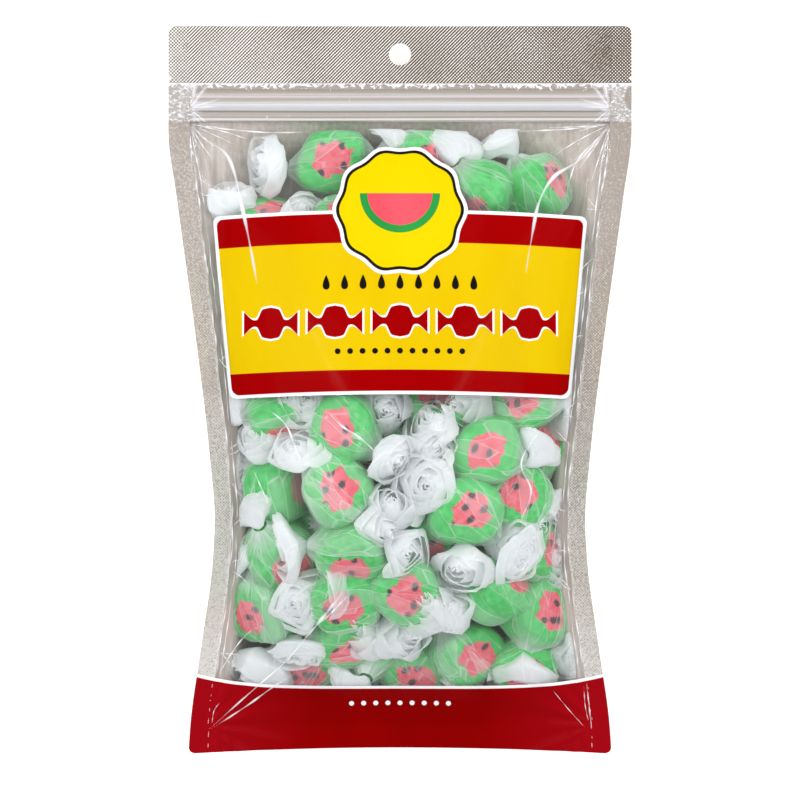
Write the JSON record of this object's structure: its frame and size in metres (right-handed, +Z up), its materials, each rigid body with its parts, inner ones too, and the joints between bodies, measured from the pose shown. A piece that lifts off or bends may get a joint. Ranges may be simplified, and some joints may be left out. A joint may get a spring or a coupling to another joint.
{
  "type": "pouch of salt water taffy",
  "caption": "Flat resealable pouch with a clear front and silver back, filled with twist-wrapped green and pink taffy; header with hang hole, zip, printed label and red foot.",
  "frame": {"origin": "on the resting plane, at the centre of the pouch's outline", "axes": "+X to the right of the front, +Y from the bottom weld to the header, +Z up, out of the front"},
  "size_m": [0.1646, 0.2572, 0.0605],
  "materials": {
    "silver_film": "metallised polyester film, satin, embossed on its welds",
    "clear_film": "clear glossy polyester film with tension wrinkles",
    "print_white": "opaque white ink under gloss film",
    "print_red": "opaque red ink under gloss film",
    "print_yellow": "opaque yellow ink under gloss film",
    "print_pink": "opaque pink ink under gloss film",
    "print_green": "opaque green ink under gloss film",
    "print_dark": "opaque near-black ink under gloss film",
    "taffy_green": "pulled sugar taffy, green rim",
    "taffy_pink": "pulled sugar taffy, pink heart with dark specks",
    "wax_paper": "thin waxed wrapping paper, milky and creased"
  },
  "bodies": {
    "root": {"back_film": "silver_film", "header_weld": "silver_film", "zip_strip": "clear_film", "front_film": "clear_film", "label_sheet": "print_white", "label_top_band": "print_red", "label_field": "print_yellow", "label_foot_band": "print_red", "badge_rim": "print_white", "badge_ground": "print_yellow", "badge_melon_flesh": "print_pink", "badge_melon_rind": "print_green", "candy_mark_1": "print_red", "candy_mark_2": "print_red", "candy_mark_3": "print_red", "candy_mark_4": "print_red", "candy_mark_5": "print_red", "foot_band": "print_red", "foot_band_line": "print_white"}
  },
  "joints": []
}
